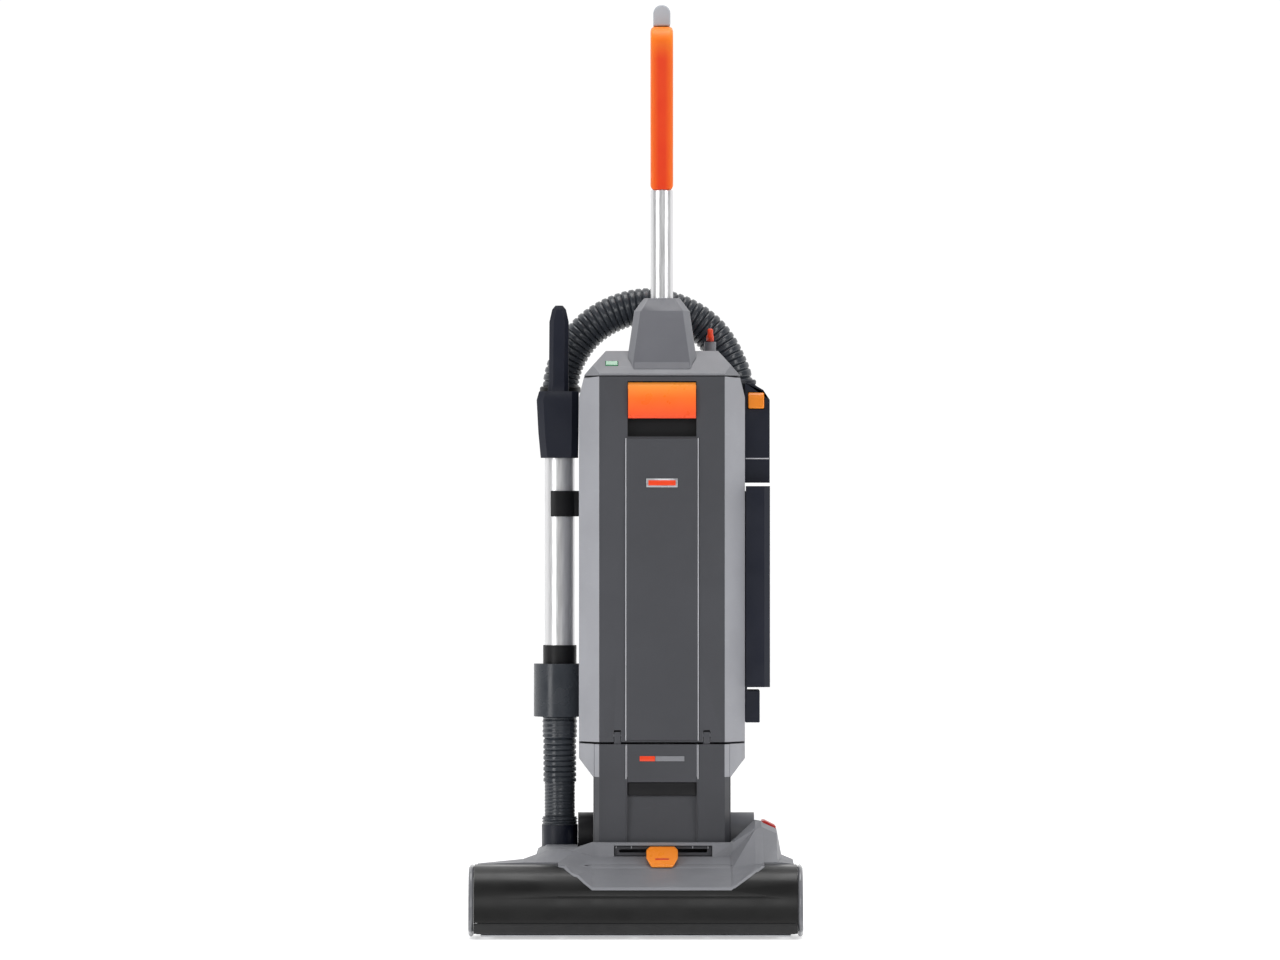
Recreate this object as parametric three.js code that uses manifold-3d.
// Upright vacuum cleaner for commercial use, in millimetres.
// +Z is up, the front faces -Y, the floor is Z = 0 and the origin is the middle of the footprint.
import * as THREE from "three";
import { mergeVertices } from "three/addons/utils/BufferGeometryUtils.js";
import Module from "manifold-3d";

const wasm = await Module();
wasm.setup();

// ---- Driving dimensions ----
const GAP = 0.3; // between pieces that touch
const PIVOT = { y: 75, z: 112 }; // recline axis, along X
const DRUM_RADIUS = 80; // rounded foot of the column, about the recline axis

const NOZZLE = { half: 199.5, hoodHalf: 193, front: -168, hoodRear: -78, top: 86, rear: 140, wall: 3 };
const BRUSH = { y: -120, z: 36, radius: 21, bristle: 29.4, pulley: 17 };
const BRUSH_MOTOR = { y: -32, z: 50, radius: 22, pulley: 9 };
const WHEEL = { y: 112, radius: 32, width: 22, left: -147, right: 175 };
const ROLLER = { y: -56, radius: 10, width: 22, left: -60, right: 102 };
const CARRIAGE = { y: -74, z: 22 };
const DECK = { foot: 93, rim: 110, lipY: -158, footY: -34, rearY: -19.5 };

const COLUMN = { x: 31.7, front: -15, panel: 75.9, side: 100.7, facet: 25, rear: 105, wall: 3 };
const LOWER = { half: 83.2, coverFoot: 106, flare: 188, flareTop: 210, top: 228.2, rear: 155 };
const DOOR = { rear: 34, bottom: 230.6, top: 673.4, pinY: -9.5, pinZ: 239 };
const TOP = { bottom: 673.8, shoulder: 647.5, side: 93.9, sideZ: 674.9, half: 68, halfZ: 704 };
const CENTRE_HALF = 43.1; // half width of the raised centre panel
const LATCH = { half: 41, bottom: 622, top: 665.5, recess: 600 };

const HANDLE = { y: 70, radius: 13.65, bore: 11.7, neckTop: 768.5, tubeTop: 900.7 };
const GRIP = { half: 13.8, front: 56.3, rear: 170, top: 1101, spar: 27 };
const WAND = { x: -92.9, y: 100, radius: 18.5, bore: 16.9, bottom: 300, top: 604 };
const SOCKET = { radius: 31.8, bottom: 258.6, top: 323.2, cuff: 20.9, hose: 22.3 };
const UPPER_HOSE = { radius: 22.6, y: 130 };
const LOWER_HOSE = { radius: 20.5, bottom: 126.6, top: 285 };
const SIDE = { inner: 132.8, outer: 162.9 }; // right-hand housings, in X

// ---- Materials ----
const FINISHES = {
  charcoal: { color: 0x45464b, roughness: 0.5, metalness: 0 },
  lightGrey: { color: 0x9a9ba0, roughness: 0.5, metalness: 0 },
  deckGrey: { color: 0x828388, roughness: 0.5, metalness: 0 },
  glossBlack: { color: 0x232323, roughness: 0.22, metalness: 0 },
  navy: { color: 0x1e2130, roughness: 0.45, metalness: 0 },
  black: { color: 0x121216, roughness: 0.55, metalness: 0 },
  rubber: { color: 0x1c1c1e, roughness: 0.85, metalness: 0 },
  orange: { color: 0xf0642a, roughness: 0.35, metalness: 0 },
  amber: { color: 0xfa9628, roughness: 0.35, metalness: 0 },
  red: { color: 0xc8322d, roughness: 0.4, metalness: 0 },
  green: { color: 0x3c8c64, roughness: 0.2, metalness: 0 },
  chrome: { color: 0xd0d0d2, roughness: 0.18, metalness: 1 },
  steel: { color: 0xa4a6a8, roughness: 0.35, metalness: 1 },
  hose: { color: 0x373c42, roughness: 0.45, metalness: 0 },
  switchGrey: { color: 0xacafb5, roughness: 0.4, metalness: 0 },
  foam: { color: 0x3a3a3c, roughness: 1, metalness: 0 },
  cloth: { color: 0xd9d4c8, roughness: 1, metalness: 0 },
};

// ---- Solid helpers ----
function solid(geometry) {
  geometry.deleteAttribute("normal");
  geometry.deleteAttribute("uv");
  const merged = mergeVertices(geometry, 1e-4);
  const vertProperties = new Float32Array(merged.attributes.position.array);
  const triVerts = new Uint32Array(merged.index.array);
  return new wasm.Manifold(new wasm.Mesh({ numProp: 3, vertProperties, triVerts }));
}

function union(...shapes) {
  return shapes.reduce((sum, shape) => sum.add(shape));
}

function cut(shape, ...tools) {
  return tools.reduce((rest, tool) => rest.subtract(tool), shape);
}

function block([x0, x1], [y0, y1], [z0, z1]) {
  const geometry = new THREE.BoxGeometry(x1 - x0, y1 - y0, z1 - z0);
  geometry.translate((x0 + x1) / 2, (y0 + y1) / 2, (z0 + z1) / 2);
  return solid(geometry);
}

// A turned geometry's own axis is Y. This lays it along the named axis, through the point at.
function alongAxis(geometry, axis, at) {
  if (axis === "x") geometry.rotateZ(-Math.PI / 2);
  if (axis === "z") geometry.rotateX(Math.PI / 2);
  geometry.translate(...at);
  return geometry;
}

function rod(axis, [from, to], radius, at, sides = 24) {
  const middle = (from + to) / 2;
  const centre = { x: [middle, ...at], y: [at[0], middle, at[1]], z: [...at, middle] }[axis];
  return solid(alongAxis(new THREE.CylinderGeometry(radius, radius, to - from, sides), axis, centre));
}

function tube(axis, [from, to], outer, inner, at, sides = 24) {
  return rod(axis, [from, to], outer, at, sides).subtract(rod(axis, [from - 1, to + 1], inner, at, sides));
}

// Extrudes an outline: (y, z) along x, (x, z) along y, or (x, y) along z.
function prism(axis, outline, [from, to]) {
  const shape = outline instanceof THREE.Shape
    ? outline
    : new THREE.Shape(outline.map(([u, v]) => new THREE.Vector2(u, v)));
  const geometry = new THREE.ExtrudeGeometry(shape, { depth: to - from, bevelEnabled: false });
  if (axis === "x") {
    geometry.rotateX(Math.PI / 2).rotateZ(Math.PI / 2).translate(from, 0, 0);
  } else if (axis === "y") {
    geometry.rotateX(Math.PI / 2).translate(0, to, 0);
  } else {
    geometry.translate(0, 0, from);
  }
  return solid(geometry);
}

// A skin through rings of points, bottom ring first, each ring anticlockwise seen from above.
function loft(rings) {
  const sides = rings[0].length;
  const levels = rings.length - 1;
  const geometry = new THREE.CylinderGeometry(1, 1, levels, sides, levels);
  const position = geometry.attributes.position;
  for (let i = 0; i < position.count; i += 1) {
    const ring = rings[Math.round(position.getY(i) + levels / 2)];
    const turn = Math.atan2(position.getX(i), position.getZ(i)) / (2 * Math.PI);
    const isCentre = Math.hypot(position.getX(i), position.getZ(i)) < 0.5;
    const point = isCentre ? middleOf(ring) : ring[Math.round(turn * sides + sides) % sides];
    position.setXYZ(i, ...point);
  }
  return solid(geometry);
}

function middleOf(ring) {
  return [0, 1, 2].map((axis) => ring.reduce((sum, point) => sum + point[axis], 0) / ring.length);
}

// A rectangular ring with cut corners at one height, for loft().
function ringAt(z, [x0, x1], [y0, y1], corner) {
  return [
    [x0 + corner, y0], [x1 - corner, y0], [x1, y0 + corner], [x1, y1 - corner],
    [x1 - corner, y1], [x0 + corner, y1], [x0, y1 - corner], [x0, y0 + corner],
  ].map(([x, y]) => [x, y, z]);
}

function arc([cu, cv], [ru, rv], [fromDegrees, toDegrees], steps) {
  return Array.from({ length: steps + 1 }, (_, i) => {
    const angle = THREE.MathUtils.degToRad(fromDegrees + ((toDegrees - fromDegrees) * i) / steps);
    return [cu + ru * Math.cos(angle), cv + rv * Math.sin(angle)];
  });
}

const machine = new THREE.Group();

function piece(name, shape, finish, at = [0, 0, 0]) {
  const { vertProperties, triVerts } = shape.getMesh();
  const geometry = new THREE.BufferGeometry();
  geometry.setAttribute("position", new THREE.BufferAttribute(vertProperties, 3));
  geometry.setIndex(new THREE.BufferAttribute(triVerts, 1));
  geometry.computeVertexNormals();
  const mesh = new THREE.Mesh(geometry, new THREE.MeshStandardMaterial(FINISHES[finish]));
  mesh.name = name;
  mesh.position.set(...at);
  machine.add(mesh);
}

// ---- Nozzle: hood, deck and tray ----
// The hood's round front: a quarter ellipse from the guard strip up to the flat top.
function hoodArc(inset) {
  const radii = [-50 + inset, 62 - inset];
  return arc([-118, 24], radii, [0, 90], 8);
}

function hoodProfile(inset, floor) {
  const front = NOZZLE.front + inset;
  return [[front, floor], ...hoodArc(inset), [NOZZLE.hoodRear, NOZZLE.top - inset], [NOZZLE.hoodRear, floor]];
}

// Height of the deck's top over the plan: rows run from the front lip back to the rim.
const DECK_COLUMNS = [-192, -136, -121, -108, -93, -74, -52, 114, 117, 144, 151.6, 154, 170, 176, 192];
const DECK_ROWS = [
  { y: DECK.lipY - 4, z: [86, 88, 88, 88, 88, 76, 61, 61, 63, 81, 86, 88, 88, 88, 86] },
  { y: -78, z: [86, 88, 88, 88, 88, 84, 80, 80, 82, 86, 87, 88, 88, 88, 86] },
  { y: DECK.footY, z: [86, 90, 94, 101, 102, 100, DECK.foot, DECK.foot, 98, 126, 128, 128, 120, 92, 86] },
  { y: DECK.footY + 1, z: [86, 90, 94, 101, 102, 102, DECK.rim, DECK.rim, 110, 127, 129, 128, 121, 92, 86] },
  { y: -15, z: [86, 90, 95, 103, 103, 103, DECK.rim, DECK.rim, 112, 137, 135.6, 133, 126, 94, 88] },
  { y: NOZZLE.rear, z: [86, 90, 95, 103, 103, 103, 100, 100, 112, 130, 129, 127, 120, 94, 88] },
];

// The space between the deck's top surface, moved by lift, and a flat level.
function underDeck(lift, level) {
  const geometry = new THREE.BoxGeometry(1, 1, 1, DECK_COLUMNS.length - 1, DECK_ROWS.length - 1, 1);
  const position = geometry.attributes.position;
  for (let i = 0; i < position.count; i += 1) {
    const column = Math.round((position.getX(i) + 0.5) * (DECK_COLUMNS.length - 1));
    const row = Math.round((position.getY(i) + 0.5) * (DECK_ROWS.length - 1));
    const height = position.getZ(i) > 0 ? DECK_ROWS[row].z[column] + lift : level;
    position.setXYZ(i, DECK_COLUMNS[column], DECK_ROWS[row].y, height);
  }
  return solid(geometry);
}

function nozzlePlan(inset) {
  const left = -190 + inset;
  const right = 190 - inset;
  return [
    [left, -162 + inset], [right, -162 + inset], [right, -4 - inset / 2], [174 - inset, 14],
    [174 - inset, NOZZLE.rear - inset], [-120 + inset, NOZZLE.rear - inset], [-120 + inset, -14],
    [left, -58 - inset / 2],
  ];
}

// Room for the column's foot and the cover in front of it, between the two brackets.
const columnBay = block([-52.2, 115.5], [DECK.rearY, 200], [32, 220]);

function frontHood() {
  const shell = prism("x", hoodProfile(0, 20), [-NOZZLE.hoodHalf, NOZZLE.hoodHalf]);
  const hollow = prism("x", hoodProfile(NOZZLE.wall, 0), [-NOZZLE.hoodHalf - 1, NOZZLE.hoodHalf + 1]);
  const rearOpening = block([-200, 200], [NOZZLE.hoodRear - 2, -70], [0, NOZZLE.top - NOZZLE.wall]);
  const deckRoom = block([-93.4, 154.4], [-170, -70], [50, 200]).subtract(underDeck(-NOZZLE.wall - GAP, 30));
  return cut(shell, hollow, rearOpening, deckRoom);
}

function nozzleCover() {
  const tongue = prism("x", hoodProfile(0, 20), [-93, 154]).add(block([-93, 154], [-118, -70], [20, 95]));
  const rearPart = prism("z", nozzlePlan(0), [50, 200]).intersect(block([-200, 200], [-77.6, 150], [84.5, 200]));
  const outside = tongue.add(rearPart).intersect(underDeck(0, 40));
  const hollow = underDeck(-NOZZLE.wall, 30).intersect(
    prism("z", nozzlePlan(NOZZLE.wall), [0, 200]).add(block([-96, 157], [-175, -70], [0, 200])),
  );
  const trackPocket = block([-26.3, 92.3], [-36, -26.5], [93.2, 106.4]);
  const trackSlot = block([-22, 88], [-30, -15], [97, 102.5]);
  const brackets = union(
    block([-70.9, -51.5], [16, 134], [60, 200]),
    block([115, 144.6], [16, 134], [60, 200]),
  );
  const pedalSlot = block([152.2, 170.8], [16, 77], [60, 200]);
  const hoseHole = rod("z", [60, 200], 22.6, [WAND.x, WAND.y]);
  const trackWall = block([-52, 114], [-26.2, -22.8], [90, 108]);
  return cut(outside, hollow).add(trackWall).subtract(union(
    trackPocket, trackSlot, brackets, pedalSlot, hoseHole, columnBay,
  ));
}

function nozzleBase() {
  const outline = nozzlePlan(0);
  const plate = prism("z", outline, [6.3, 10]);
  const inner = prism("z", nozzlePlan(4), [9, 90]);
  const walls = prism("z", outline, [6.3, 84]).subtract(inner).intersect(block([-200, 200], [-77, 150], [0, 90]));
  const chamberWall = block([-190, 190], [-84, -80.5], [9, 75]);
  const springPost = block([154, 168], [25, 39], [9, 87]);
  const endProfile = [
    [-158, 9], [-158, 30], ...arc([-118, 24], [-38, 48], [20, 80], 4), [-84, 70], [-84, 9],
  ];
  const ends = union(
    prism("x", endProfile, [-189, -185]),
    prism("x", endProfile, [185, 189]),
  );
  const brushOpening = block([-174, 174], [-150, -92], [0, 20]);
  const rollerOpening = block([-72, 136], [-79.5, -42], [0, 26]);
  const bearingSeats = rod("x", [-200, 200], 12.3, [BRUSH.y, BRUSH.z]);
  const ductSlot = block([-112.3, -73.7], [-90, -70], [51.7, 90]);
  const beltSlot = block([162, 181], [-90, -70], [20, 90]);
  const rearGate = block([-60, 122], [130, 150], [28, 90]);
  const axleHole = rod("x", [-130, 180], 5.3, [WHEEL.y, WHEEL.radius]).intersect(
    block([-130, -110], [100, 125], [20, 45]).add(block([165, 180], [100, 125], [20, 45])),
  );
  const body = union(plate, walls, chamberWall, ends, springPost);
  return cut(body, brushOpening, rollerOpening, bearingSeats, ductSlot, beltSlot, rearGate, axleHole);
}

function solePlate() {
  const plate = block([-185, 185], [-160, -84], [3.4, 6]);
  const bays = [-172, -86, 2, 88].map((x) => block([x, x + 82], [-148, -95], [0, 10]));
  return cut(plate, ...bays);
}

function endCap(side) {
  const outline = [
    [-150, 3], [-166, 10], [NOZZLE.front, 22], ...hoodArc(0), [-80, NOZZLE.top], [-62, 80], [-62, 10], [-84, 3],
  ];
  const bevel = 2.4;
  const shape = new THREE.Shape(outline.map(([u, v]) => new THREE.Vector2(u, v)));
  const thickness = NOZZLE.half - NOZZLE.hoodHalf - GAP;
  const geometry = new THREE.ExtrudeGeometry(shape, {
    depth: thickness - 2 * bevel, bevelThickness: bevel, bevelSize: bevel, bevelOffset: -bevel, bevelSegments: 2,
  });
  geometry.rotateX(Math.PI / 2).rotateZ(Math.PI / 2);
  geometry.translate(side > 0 ? NOZZLE.half - thickness + bevel : -NOZZLE.half + bevel, 0, 0);
  return solid(geometry);
}

piece("front_hood", frontHood(), "glossBlack");
piece("nozzle_cover", nozzleCover(), "deckGrey");
piece("nozzle_base", nozzleBase(), "charcoal");
piece("sole_plate", solePlate(), "steel");
piece("end_cap_left", endCap(-1), "lightGrey");
piece("end_cap_right", endCap(1), "lightGrey");
piece("bumper_strip", prism("x", [
  [-170, 9], [-170, 17], [-168, 19.6], [-163, 19.6], [-163, 7], [-168, 7],
], [-NOZZLE.hoodHalf, NOZZLE.hoodHalf]), "rubber");

// ---- Nozzle: height adjuster ----
piece("slider_track", cut(
  block([-26, 92], [-29.5, -26.5], [93.5, 106.1]),
  block([-20, 86], [-40, -20], [98, 101.5]),
), "charcoal");

function heightSlider() {
  const x = COLUMN.x;
  const face = prism("y", [
    [x - 10, 78], [x + 10, 78], [x + 19.1, 92], [x + 19.1, 101], [x + 15, 105.3], [x - 15, 105.3],
    [x - 19.1, 101], [x - 19.1, 92],
  ], [-80, -30]);
  const side = prism("x", [
    [-76, 81.6], [-76, 84], [-60, 95], [-44, 105.3], [-30, 105.3], [-30, 94.8], [-36, 93.2],
  ], [x - 25, x + 25]);
  const stem = block([x - 5, x + 5], [-31, -24], [98.3, 101.2]);
  return face.intersect(side).add(stem);
}

piece("height_slider", heightSlider(), "amber");
piece("roller_carriage", union(
  rod("x", [-68, 132], 3, [CARRIAGE.y, CARRIAGE.z], 12),
  rod("x", [ROLLER.left - 4, ROLLER.right + ROLLER.width + 4], 2.5, [ROLLER.y, ROLLER.radius], 12),
  ...[-34, 92].map((x) => prism("x", [
    [CARRIAGE.y - 4, CARRIAGE.z - 3], [ROLLER.y + 3, 6], [ROLLER.y + 4, 14], [CARRIAGE.y + 2, CARRIAGE.z + 4],
  ], [x, x + 6])),
), "charcoal");
for (const side of ["left", "right"]) {
  const rim = tube("x", [0, ROLLER.width], ROLLER.radius, 2.8, [0, 0], 20);
  piece(`front_roller_${side}`, rim, "rubber", [ROLLER[side], ROLLER.y, ROLLER.radius]);
}

// ---- Nozzle: brush drive ----
const BELT_X = [164, 176];

// A loop around two pulleys, the given distance outside both.
function beltLoop(outside) {
  const dy = BRUSH_MOTOR.y - BRUSH.y;
  const dz = BRUSH_MOTOR.z - BRUSH.z;
  const lean = THREE.MathUtils.radToDeg(Math.atan2(dz, dy));
  const wrap = THREE.MathUtils.radToDeg(Math.asin((BRUSH.pulley - BRUSH_MOTOR.pulley) / Math.hypot(dy, dz)));
  const large = BRUSH.pulley + outside;
  const small = BRUSH_MOTOR.pulley + outside;
  return [
    ...arc([BRUSH.y, BRUSH.z], [large, large], [lean + 90 - wrap, lean + 270 + wrap], 12),
    ...arc([BRUSH_MOTOR.y, BRUSH_MOTOR.z], [small, small], [lean - 90 + wrap, lean + 90 - wrap], 8),
  ];
}

function brushRoll() {
  const core = rod("x", [-180, 162], BRUSH.radius, [0, 0]);
  const pulley = rod("x", [161, 179], BRUSH.pulley, [0, 0]);
  const journals = rod("x", [-188, 188], 6, [0, 0], 16);
  const fin = block([-172, 158], [-2.5, 2.5], [BRUSH.radius - 3, BRUSH.bristle]);
  const fins = [45, 135, 225, 315].map((degrees) => fin.rotate([degrees, 0, 0]));
  return union(core, pulley, journals, ...fins);
}

piece("brush_roll", brushRoll(), "black", [0, BRUSH.y, BRUSH.z]);
for (const [side, x] of [["left", -188.8], ["right", 181.3]]) {
  piece(`brush_bearing_${side}`, tube("x", [0, 7.5], 12, 6.3, [0, 0], 20), "steel", [x, BRUSH.y, BRUSH.z]);
}
piece("drive_belt", prism("x", beltLoop(2.4), BELT_X).subtract(
  prism("x", beltLoop(GAP), [BELT_X[0] - 1, BELT_X[1] + 1]),
), "rubber");
piece("brush_motor", union(
  rod("x", [30, 130], BRUSH_MOTOR.radius, [0, 0]),
  rod("x", [129, 134], 9, [0, 0], 16),
  block([45, 98], [-12, 12], [10.4 - BRUSH_MOTOR.z, 0]),
).subtract(rod("x", [120, 140], 3.4, [0, 0], 12)), "steel", [0, BRUSH_MOTOR.y, BRUSH_MOTOR.z]);
piece("motor_pulley", union(
  rod("x", [122, 178], 3, [0, 0], 12),
  rod("x", [162, 178], BRUSH_MOTOR.pulley, [0, 0], 20),
), "steel", [0, BRUSH_MOTOR.y, BRUSH_MOTOR.z]);

// ---- Nozzle: wheels, brackets, pedal and hose elbow ----
piece("rear_axle", rod("x", [WHEEL.left + 1, WHEEL.right + WHEEL.width - 1], 5, [WHEEL.y, WHEEL.radius], 16), "steel");
for (const side of ["left", "right"]) {
  const wheel = union(
    rod("x", [0, WHEEL.width], WHEEL.radius - 1, [0, 0], 32),
    rod("x", [3, WHEEL.width - 3], WHEEL.radius, [0, 0], 32),
  );
  const bore = rod("x", [-1, WHEEL.width + 1], 5.3, [0, 0], 16);
  piece(`rear_wheel_${side}`, wheel.subtract(bore), "rubber", [WHEEL[side], WHEEL.y, WHEEL.radius]);
}

function pivotBracket([from, to]) {
  const outline = [
    [20, 10.3], [20, 60], ...arc([PIVOT.y, PIVOT.z], [30.5, 30.5], [200, -20], 14), [130, 60], [130, 10.3],
  ];
  const pinHole = rod("x", [from - 1, to + 1], 8.3, [PIVOT.y, PIVOT.z], 20);
  const axleHole = rod("x", [from - 1, to + 1], 5.3, [WHEEL.y, WHEEL.radius], 16);
  return cut(prism("x", outline, [from, to]), pinHole, axleHole);
}

piece("pivot_bracket_left", pivotBracket([-70.3, -52]), "black");
piece("pivot_bracket_right", pivotBracket([115.5, 144]), "charcoal");
for (const [side, from, to] of [["left", -68, -40], ["right", 103, 141]]) {
  piece(`pivot_pin_${side}`, rod("x", [from, to], 8, [PIVOT.y, PIVOT.z], 20), "steel");
}

piece("release_pedal", union(
  prism("y", [[152.6, 116], [152.6, 134], [156, 134.5], [169, 128], [170.4, 124], [170.4, 116]], [18.4, 68]),
  rod("x", [152.6, 170.4], 5, [70, 121], 16),
), "red");
piece("pedal_spring", tube("z", [87.4, 115.7], 5, 3.4, [161, 32], 12), "steel");

function hoseElbow() {
  const outside = union(
    block([-112, -74], [-90, 100], [52, 80]),
    rod("z", [52, 126.3], 22, [WAND.x, WAND.y]),
  );
  return cut(
    outside,
    block([-108, -78], [-95, 100], [56, 76]),
    rod("z", [56, 130], 17.5, [WAND.x, WAND.y]),
    block([-130, -70], [-100, -84.3], [40, 90]),
  );
}

piece("hose_elbow", hoseElbow(), "navy");

// ---- Column: shells ----
function columnPlan(inset, rear) {
  const side = COLUMN.side - inset;
  const right = [
    [COLUMN.panel - inset * 0.6, COLUMN.front + inset], [side, COLUMN.facet + inset * 0.3],
    [side, COLUMN.rear - 12], [LOWER.half + 5.5 - inset, COLUMN.rear - inset],
  ];
  if (rear > COLUMN.rear) {
    right.splice(3, 1, [LOWER.half - inset, 108], [LOWER.half - inset, 138], [66 - inset, rear - inset]);
  }
  const left = right.map(([x, y]) => [-x, y]).reverse();
  return [...right, ...left].map(([x, y]) => [x + COLUMN.x, y]);
}

// The shell's outside, or its inside when inset by the wall.
function columnBody(inset) {
  const face = [
    [COLUMN.side, 200], [COLUMN.side, TOP.shoulder], [TOP.side, TOP.sideZ], [TOP.half, TOP.halfZ],
  ].map(([x, z]) => [x - inset, z - inset * 0.7]);
  const mirrored = face.map(([x, z]) => [-x, z]).reverse();
  const front = prism("y", [...face, ...mirrored].map(([x, z]) => [x + COLUMN.x, z]), [-40, 160]);
  return prism("z", columnPlan(inset, COLUMN.rear), [200, 720]).intersect(front);
}

function topCover() {
  const frontSlope = prism("x", [[-40, 660], [-15.1, 676], [22, 705.2], [22, 730], [-40, 730]], [-100, 160]);
  const innerSlope = prism("x", [[-40, 655], [-12, 671], [25, 702], [25, 730], [-40, 730]], [-100, 160]);
  const band = block([-100, 160], [-30, 120], [TOP.bottom, 760]);
  const shell = cut(columnBody(0).intersect(band), frontSlope);
  const hollow = cut(columnBody(COLUMN.wall), innerSlope).intersect(block([-100, 160], [-30, 120], [600, 701.5]));
  const hookPost = rod("z", [700, 716], 7.4, [90.7, 90], 20).subtract(rod("z", [706, 720], 3.3, [90.7, 90], 16));
  return union(cut(shell, hollow, lampRoom()), hookPost);
}

// The indicator lamp lies in the sloping front of the top cover, left of the neck.
const LAMP = { x: [-36.7, -21.5], y: 1, z: 688, length: 9, tilt: 38 };

function lampBlock(grow, depth) {
  const [x0, x1] = LAMP.x;
  const half = LAMP.length / 2 + grow;
  return block([x0 - grow, x1 + grow], [-half, half], [-depth, 3])
    .rotate([LAMP.tilt, 0, 0])
    .translate([0, LAMP.y, LAMP.z]);
}

function lampRoom() {
  return lampBlock(GAP, 9);
}

function rearHousing() {
  const band = block([-100, 160], [35.3, 120], [228.5, 673.5]);
  const shell = columnBody(0).intersect(band);
  const hollow = columnBody(COLUMN.wall).intersect(block([-100, 160], [30, 120], [233, 670]));
  const airHole = rod("z", [220, 240], 40, [COLUMN.x, 70], 28);
  const spoutHole = rod("y", [90, 120], 16.6, [100, 603], 20);
  const cordHook = prism("x", [
    [104, 300], [138, 300], [138, 276], [132, 276], [132, 290], [104, 290],
  ], [COLUMN.x - 8, COLUMN.x + 8]);
  return cut(shell, hollow, airHole, spoutHole).add(cordHook);
}

function lowerFace(half, top, foot) {
  const right = [[half, foot], [half, LOWER.flare], [half + 17.5, LOWER.flareTop], [half + 17.5, top]];
  const left = right.map(([x, z]) => [-x, z]).reverse();
  return prism("y", [...right, ...left].map(([x, z]) => [x + COLUMN.x, z]), [-40, 200]);
}

function lowerBody(inset) {
  const radius = DRUM_RADIUS - inset;
  const side = [
    ...arc([PIVOT.y, PIVOT.z], [radius, radius], [180, 360], 24),
    [LOWER.rear - inset, 180], [COLUMN.rear - inset, 220], [COLUMN.rear - inset, LOWER.top],
    [PIVOT.y - radius, LOWER.top],
  ];
  return prism("x", side, [-100, 160])
    .intersect(prism("z", columnPlan(inset, LOWER.rear), [20, LOWER.top]))
    .intersect(lowerFace(LOWER.half - inset, LOWER.top, 20));
}

function lowerHousing() {
  const mouth = block([COLUMN.x - 70, COLUMN.x + 70], [38, 100], [200, 240]);
  const hollow = lowerBody(4).intersect(block([-100, 160], [-20, 170], [30, 222]));
  const pinHoles = rod("x", [-60, 130], 8.3, [PIVOT.y, PIVOT.z], 20);
  const vents = Array.from({ length: 6 }, (_, i) => {
    const x = COLUMN.x - 50 + i * 20;
    return block([x - 3, x + 3], [148, 160], [120, 168]);
  });
  const frontTop = block([-100, 160], [PIVOT.y - DRUM_RADIUS - 0.1, 36], [222, LOWER.top]);
  const hinge = [-58, 50].map((x) => union(
    block([COLUMN.x + x, COLUMN.x + x + 8], [-14, -2], [222, DOOR.pinZ]),
    rod("x", [COLUMN.x + x, COLUMN.x + x + 8], 4.5, [DOOR.pinY, DOOR.pinZ], 16),
    block([COLUMN.x + x, COLUMN.x + x + 8], [-14, 2], [222, LOWER.top]),
  ));
  const pinBore = rod("x", [-60, 120], 2.3, [DOOR.pinY, DOOR.pinZ], 12);
  const body = cut(lowerBody(0), hollow, mouth, pinHoles, ...vents);
  return union(body, frontTop.intersect(lowerBody(0)), ...hinge).subtract(pinBore);
}

function motorCover() {
  const plate = prism("z", columnPlan(0, COLUMN.rear), [LOWER.coverFoot, LOWER.top])
    .intersect(block([-100, 160], [-20, PIVOT.y - DRUM_RADIUS - GAP], [90, 240]))
    .intersect(lowerFace(LOWER.half, LOWER.top, 90));
  const scoop = prism("x", [[-15.2, 100], [-14, 100], [-8, 182], [-15.2, 182]], [
    COLUMN.x - CENTRE_HALF + 1.2, COLUMN.x + CENTRE_HALF - 1.2,
  ]);
  const ridges = [-CENTRE_HALF, CENTRE_HALF - 1.2].map((x) =>
    block([COLUMN.x + x, COLUMN.x + x + 1.2], [-16.2, -12], [LOWER.coverFoot, LOWER.top]));
  const hingeRoom = [-58, 50].map((x) =>
    block([COLUMN.x + x - GAP, COLUMN.x + x + 8 + GAP], [-14.3, 0], [221.7, 240]));
  return cut(union(cut(plate, scoop), ...ridges), ...hingeRoom);
}

piece("top_cover", topCover(), "deckGrey");
piece("indicator_lens", lampBlock(0, 6).intersect(lampBlock(5, 5).translate([0, 0, -2])), "green");
piece("rear_housing", rearHousing(), "deckGrey");
piece("lower_housing", lowerHousing(), "charcoal");
piece("motor_cover", motorCover(), "charcoal");

// ---- Column: motor, filter and bag ----
piece("suction_motor", union(
  rod("z", [58, 165], 52, [COLUMN.x, PIVOT.y], 28),
  rod("z", [160, 176], 60, [COLUMN.x, PIVOT.y], 28),
).subtract(rod("z", [150, 180], 5.4, [COLUMN.x, PIVOT.y], 16)), "steel");
piece("motor_fan", union(
  rod("z", [152, 195], 5, [0, 0], 16),
  rod("z", [178, 181], 55, [0, 0], 28),
  ...Array.from({ length: 8 }, (_, i) => block([12, 52], [-1, 1], [180, 195]).rotate([0, 0, i * 45])),
  rod("z", [180, 195], 14, [0, 0], 20),
), "steel", [COLUMN.x, PIVOT.y, 0]);
piece("motor_filter", block([COLUMN.x - 70, COLUMN.x + 70], [40, 98], [233.4, 250]), "foam");

function filterBag() {
  const rings = [
    [256, 62, [44, 86]], [270, 80, [32, 94]], [300, 86, [20, 95]], [560, 86, [16, 95]],
    [620, 82, [22, 94]], [650, 70, [40, 84]],
  ];
  return loft(rings.map(([z, half, depth]) => ringAt(z, [COLUMN.x - half, COLUMN.x + half], depth, 12)))
    .subtract(rod("y", [70, 110], 17, [100, 603], 20));
}

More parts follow.
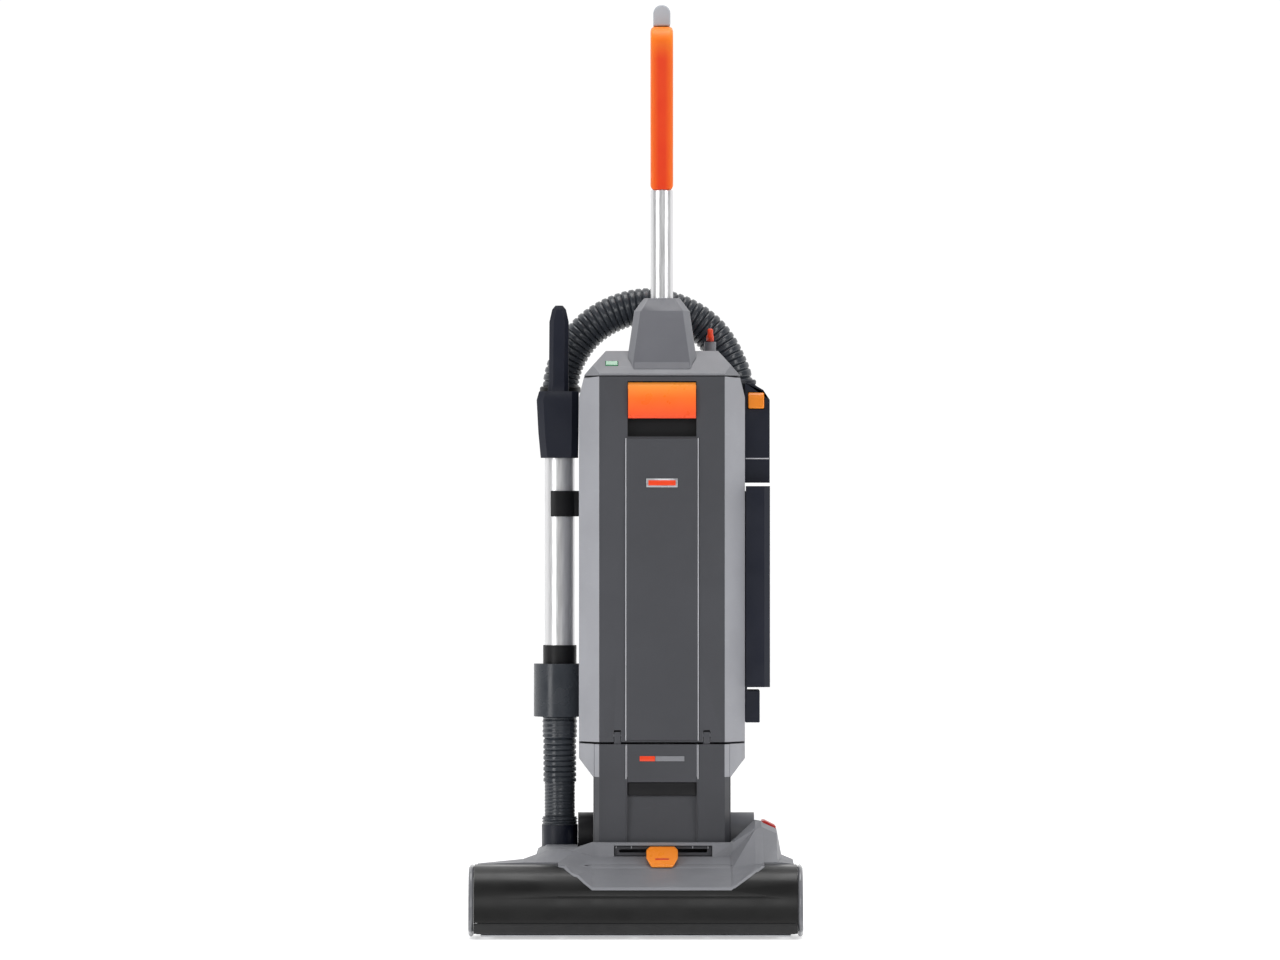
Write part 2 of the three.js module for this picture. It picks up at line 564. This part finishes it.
piece("filter_bag", filterBag(), "cloth");

// ---- Door ----
function doorShell() {
  const roof = prism("x", [[-30, 200], [-30, DOOR.top], [DOOR.rear, DOOR.top - 3.4], [DOOR.rear, 200]], [-100, 160]);
  const band = block([-100, 160], [-30, DOOR.rear], [DOOR.bottom, 700]);
  const shell = columnBody(0).intersect(band).intersect(roof);
  const innerRoof = roof.translate([0, 0, -3]);
  const hollow = columnBody(COLUMN.wall).intersect(block([-100, 160], [-12, 60], [200, 700])).intersect(innerRoof);
  const pocketBox = block([COLUMN.x - 44.6, COLUMN.x + 44.6], [-13, -1], [LATCH.recess - 3, 672]).intersect(roof);
  const pocket = block([COLUMN.x - LATCH.half - 0.6, COLUMN.x + LATCH.half + 0.6], [-20, -4], [
    LATCH.recess, LATCH.top + 1.2,
  ]);
  const lugRoom = [-58, 50].map((x) => block([COLUMN.x + x - 0.4, COLUMN.x + x + 8.4], [-20, -4], [220, 245]));
  const ribs = [-67, -49, 41, 59].map((x) =>
    rod("x", [COLUMN.x + x, COLUMN.x + x + 8], 5.5, [DOOR.pinY, DOOR.pinZ], 16));
  const bore = rod("x", [COLUMN.x - 72, COLUMN.x + 72], 2.3, [DOOR.pinY, DOOR.pinZ], 12);
  const latchBore = rod("x", [COLUMN.x - 43.6, COLUMN.x + 43.6], 2.3, [-10.5, 660], 12);
  const shellWithRibs = union(cut(shell, hollow), pocketBox, ...ribs);
  return cut(shellWithRibs, pocket, ...lugRoom, bore, latchBore);
}

const doorInside = columnBody(COLUMN.wall + 1);
const sealOutside = doorInside.intersect(block([-100, 160], [DOOR.rear - 5, DOOR.rear + 1], [233.5, 666]));
piece("door_shell", doorShell(), "lightGrey");
piece("door_panel", block(
  [COLUMN.x - CENTRE_HALF, COLUMN.x + CENTRE_HALF], [-17.5, COLUMN.front - GAP], [DOOR.bottom + 2, LATCH.recess - 2],
), "charcoal");
piece("door_seal", cut(
  sealOutside,
  columnBody(COLUMN.wall + 7).intersect(block([-100, 160], [0, 60], [239, 660])),
), "rubber");
piece("door_hinge_pin", rod("x", [COLUMN.x - 70, COLUMN.x + 70], 2, [DOOR.pinY, DOOR.pinZ], 12), "steel");
piece("door_latch", union(
  prism("x", [
    [-19.5, LATCH.bottom + 3], [-19.5, LATCH.top - 4], [-13, LATCH.top], [-11, LATCH.top],
    [-9, LATCH.top - 4], [-13, LATCH.bottom], [-17, LATCH.bottom],
  ], [COLUMN.x - LATCH.half, COLUMN.x + LATCH.half]),
  rod("x", [COLUMN.x - 43.2, COLUMN.x + 43.2], 2, [-10.5, 660], 12),
), "orange");

// ---- Handle ----
function neck() {
  const x = COLUMN.x;
  const body = loft([
    ringAt(676, [x - 43.6, x + 43.6], [-13, 100], 8),
    ringAt(690, [x - 42.5, x + 42.5], [-2, 100], 8),
    ringAt(752.3, [x - 33.7, x + 33.7], [26, 97], 8),
    ringAt(HANDLE.neckTop, [x - 21.8, x + 21.8], [46, 93], 6),
  ]);
  const coverSide = prism("x", [[-60, 640], [-15.1, 676.2], [22, 705.5], [120, 705.5], [120, 600], [-60, 600]], [-50, 120]);
  const socket = rod("z", [707.3, 800], HANDLE.radius + GAP, [x, HANDLE.y]);
  return cut(body, coverSide, socket);
}

function gripLoop() {
  const bevel = 5;
  const outer = new THREE.Shape();
  outer.moveTo(GRIP.front, 901);
  outer.lineTo(GRIP.front, 1070);
  outer.quadraticCurveTo(GRIP.front, GRIP.top, 90, GRIP.top);
  outer.lineTo(130, GRIP.top);
  outer.quadraticCurveTo(GRIP.rear, GRIP.top, GRIP.rear, 1056);
  outer.quadraticCurveTo(GRIP.rear, 1000, 130, 966);
  outer.quadraticCurveTo(92, 938, 83.7, 901);
  const opening = new THREE.Path();
  opening.moveTo(GRIP.front + GRIP.spar, 976);
  opening.quadraticCurveTo(110, 988, 128, 1006);
  opening.quadraticCurveTo(143, 1024, 143, 1052);
  opening.quadraticCurveTo(143, 1074, 124, 1074);
  opening.lineTo(96, 1074);
  opening.quadraticCurveTo(GRIP.front + GRIP.spar, 1074, GRIP.front + GRIP.spar, 1060);
  outer.holes.push(opening);
  const geometry = new THREE.ExtrudeGeometry(outer, {
    depth: 2 * (GRIP.half - bevel), curveSegments: 5,
    bevelThickness: bevel, bevelSize: bevel, bevelOffset: -bevel, bevelSegments: 2,
  });
  geometry.rotateX(Math.PI / 2).rotateZ(Math.PI / 2).translate(COLUMN.x - GRIP.half + bevel, 0, 0);
  const plug = rod("z", [876, 905], 11.2, [COLUMN.x, HANDLE.y], 20);
  const switchSlot = block([COLUMN.x - 4.5, COLUMN.x + 4.5], [93, 117], [1090, 1110]);
  return union(solid(geometry), plug).subtract(switchSlot);
}

piece("handle_neck", neck(), "deckGrey");
piece("handle_tube", tube("z", [707.6, HANDLE.tubeTop], HANDLE.radius, HANDLE.bore, [COLUMN.x, HANDLE.y]), "chrome");
piece("hand_grip", gripLoop(), "orange");
piece("power_switch", union(
  prism("y", [
    ...arc([COLUMN.x, 1116.7], [10.5, 10.6], [0, 180], 10), [COLUMN.x - 10.5, 1101.5], [COLUMN.x + 10.5, 1101.5],
  ], [84, 114]),
  block([COLUMN.x - 4, COLUMN.x + 4], [94, 108], [1092, 1103]),
), "switchGrey");

// ---- Right side: hose port and exhaust filter ----
function hosePort() {
  const slope = [[SIDE.inner, 544], [SIDE.outer, 544], [SIDE.outer, 645], [155, 657], [143, 664], [SIDE.inner, 666]];
  const sidePart = prism("y", slope, [50, 153]);
  const rearPart = prism("y", [[80, 544], [SIDE.outer, 544], [SIDE.outer, 645], [155, 657], [143, 666], [80, 666]], [
    105.4, 153,
  ]);
  const spout = rod("y", [84, 108], 16, [100, 603], 20);
  const hoseBore = rod("z", [580, 700], 22.9, [121.3, UPPER_HOSE.y]);
  const spoutBore = rod("y", [80, 130], 13, [100, 603], 20);
  const latchRoom = block([136.3, 156.3], [40, 70], [633.7, 654.3]);
  const springRoom = block([142, 150], [60, 78], [640, 648]);
  return cut(union(sidePart, rearPart, spout), hoseBore, spoutBore, latchRoom, springRoom);
}

piece("hose_port", hosePort(), "navy");
piece("hose_latch", union(
  prism("x", [[46, 634.3], [46, 650], [50, 654], [62, 654], [62, 634.3]], [136.6, 156]),
), "amber");

piece("filter_tray", union(
  block([SIDE.inner, 135.2], [30, 96], [253, 534]),
  block([SIDE.inner, 150.5], [30, 96], [253, 292]),
), "navy");
piece("exhaust_filter", block([135.6, 156], [34, 92], [298, 530]), "cloth");

function filterCover() {
  const outline = (inset) => [
    [SIDE.inner + 0.6, 24 + inset], [156 - inset, 24 + inset], [SIDE.outer - inset, 31 + inset],
    [SIDE.outer - inset, 100 - inset], [158 - inset, 105 - inset], [SIDE.inner + 3.2, 105 - inset],
  ];
  const shell = prism("z", outline(0), [296, 540]);
  const hollow = prism("z", outline(3), [293, 537]).add(block([120, 136.3], [27, 98], [290, 537]));
  const openBack = block([120, 138], [27, 98], [290, 537]);
  return cut(shell, hollow, openBack);
}

piece("filter_cover", filterCover(), "navy");

// ---- Left side: wand, its socket and clip ----
const wandAt = [WAND.x, WAND.y];
const columnSide = block([COLUMN.x - COLUMN.side - GAP, 200], [-200, 300], [0, 1200]);
piece("wand_socket", cut(
  rod("z", [SOCKET.bottom, SOCKET.top], SOCKET.radius, wandAt, 32),
  rod("z", [290, 400], SOCKET.cuff, wandAt, 28),
  rod("z", [200, 290.1], SOCKET.hose, wandAt, 28),
  columnSide,
), "hose");
piece("wand_clip", cut(
  union(
    tube("z", [502.9, 534.2], 22.4, WAND.radius + 0.4, wandAt, 28),
    block([-76, -60], [86, 104], [502.9, 534.2]),
  ),
  rod("z", [480, 560], WAND.radius + 0.4, wandAt, 28),
  block([-140, -103.8], [0, 200], [480, 560]),
  columnSide,
), "black");
piece("wand_tube", tube("z", [WAND.bottom, WAND.top], WAND.radius, WAND.bore, wandAt), "chrome");
piece("wand_cuff", tube("z", [296, 345.8], 20.5, WAND.radius + GAP, wandAt), "black");

function wandHandle() {
  const body = loft([
    ringAt(574.3, [-116.1, -70.5], [76, 124], 8),
    ringAt(606, [-119, -70], [73, 140], 8),
    ringAt(645, [-121, -69.8], [70, 155], 8),
    ringAt(655.6, [-118, -69.8], [72, 155], 8),
  ]);
  const finger = loft([
    ringAt(640, [-109, -82], [72, 104], 5),
    ringAt(670, [-106, -82], [74, 98], 5),
    ringAt(740, [-105.4, -81.8], [66, 88], 5),
    ringAt(755, [-102, -85], [65, 84], 5),
    ringAt(760, [-98, -89], [68, 80], 3),
  ]);
  const tubeBore = rod("z", [560, WAND.top + GAP], WAND.radius + GAP, wandAt);
  const hoseBore = rod("z", [628, 700], UPPER_HOSE.radius + GAP, [-92.6, UPPER_HOSE.y]);
  return cut(union(body, finger), tubeBore, hoseBore);
}

piece("wand_handle", wandHandle(), "navy");

// ---- Hoses ----
function hoseAlong(points, radius, sides, steps) {
  const route = new THREE.CatmullRomCurve3(points.map((point) => new THREE.Vector3(...point)));
  const section = new THREE.Shape(arc([0, 0], [radius, radius], [0, 360 - 360 / sides], sides - 1)
    .map(([u, v]) => new THREE.Vector2(u, v)));
  return solid(new THREE.ExtrudeGeometry(section, { steps, bevelEnabled: false, extrudePath: route }));
}

// (x, z) of the upper hose's arch behind the neck, from the wand handle to the hose port.
const UPPER_ROUTE = [
  [-92.6, 656], [-90.5, 674], [-85, 692], [-76, 709], [-64, 725], [-48, 739], [-29, 750], [-8, 757.5],
  [14, 760.5], [36, 758], [57, 751], [76, 740], [92, 726], [105, 708], [114, 690], [119.5, 676], [121.3, 666.4],
];
piece("upper_hose", hoseAlong(
  UPPER_ROUTE.map(([x, z]) => [x, UPPER_HOSE.y, z]), UPPER_HOSE.radius - 0.4, 10, 36,
), "hose");
piece("lower_hose", hoseAlong([
  [WAND.x, WAND.y, LOWER_HOSE.bottom], [WAND.x, WAND.y, 140], [WAND.x, WAND.y + 1, 165],
  [WAND.x, WAND.y + 1.5, 190], [WAND.x, WAND.y + 1, 215], [WAND.x, WAND.y, 240], [WAND.x, WAND.y, LOWER_HOSE.top],
], LOWER_HOSE.radius, 10, 14), "hose");

// ---- Cord storage ----
piece("cord_hook", union(
  rod("z", [708, 718], 3, [0, 0], 16),
  prism("x", [
    [6, 716.5], [6, 723], [3, 725.4], [-20, 725.4], [-26, 733], [-30, 731], [-27, 719], [-22, 716.5],
  ], [-5.6, 5.6]),
), "orange", [90.7, 90, 0]);
piece("cord_gland", solid(alongAxis(new THREE.LatheGeometry([
  [5, 0], [11, 0], [11, 3], [8, 5], [7, 14], [5, 14], [5, 0],
].map(([r, h]) => new THREE.Vector2(r, h)), 16), "y", [-25, 105.3, 610])), "rubber");

export default machine;
